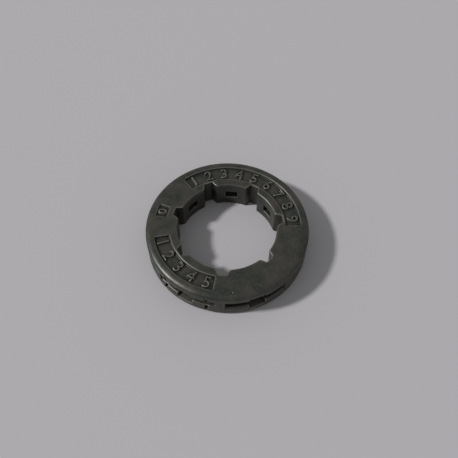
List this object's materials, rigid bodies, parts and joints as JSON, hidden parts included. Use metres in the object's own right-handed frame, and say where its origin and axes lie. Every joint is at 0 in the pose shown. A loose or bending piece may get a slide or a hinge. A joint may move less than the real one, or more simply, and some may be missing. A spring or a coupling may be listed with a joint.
{
  "type": "sprocket",
  "caption": "Flat cast ring with a splined bore, pockets for a saw chain's drive links in its rim, and chip windows from the pockets through to the bore.",
  "frame": {"origin": "centre of the splined bore, in the plane of the bare face that the part rests on", "axes": "+Z along the bore axis, towards the marked face; +X lies 95 degrees on from a groove's middle, so that the picture's viewer stands at -Y"},
  "size_m": [0.0314, 0.0314, 0.0061],
  "materials": {
    "cast_steel": "dark oiled cast steel, semi-gloss"
  },
  "bodies": {
    "root": {"rim_sprocket": "cast_steel"}
  },
  "joints": []
}
